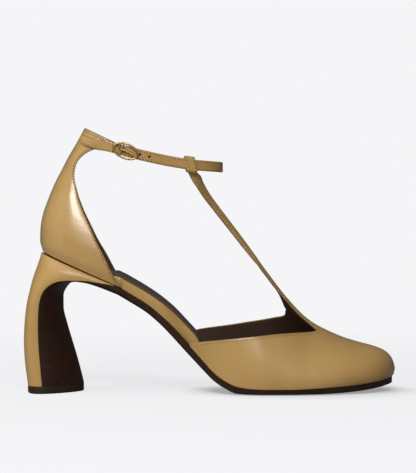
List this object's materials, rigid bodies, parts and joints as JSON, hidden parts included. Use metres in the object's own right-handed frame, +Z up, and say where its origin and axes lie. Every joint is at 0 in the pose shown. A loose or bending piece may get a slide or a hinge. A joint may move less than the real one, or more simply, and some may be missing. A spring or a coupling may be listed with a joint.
{
  "type": "t strap heel shoe",
  "caption": "Women's round-toe T-strap shoe for the right foot, with open waist, ankle strap with oval buckle, and high curved covered heel.",
  "frame": {"origin": "on the ground, under the middle of the whole shoe's box", "axes": "+X to the toe, +Y to the inner (medial) side, +Z up"},
  "size_m": [0.224, 0.0756, 0.1585],
  "materials": {
    "upper_leather": "glossy gold-tan patent-type leather",
    "sole_leather": "smooth dark brown sole leather",
    "sock_leather": "matt grey-brown sock leather",
    "top_piece_rubber": "dark brown rubber",
    "buckle_metal": "polished gold plating"
  },
  "bodies": {
    "root": {"outsole": "sole_leather", "heel": "upper_leather", "top_piece": "top_piece_rubber", "footbed": "upper_leather", "insole": "sock_leather", "quarter": "upper_leather", "vamp": "upper_leather", "ankle_strap": "upper_leather", "buckle_tab": "upper_leather", "buckle_frame": "buckle_metal", "buckle_prong": "buckle_metal"}
  },
  "joints": []
}
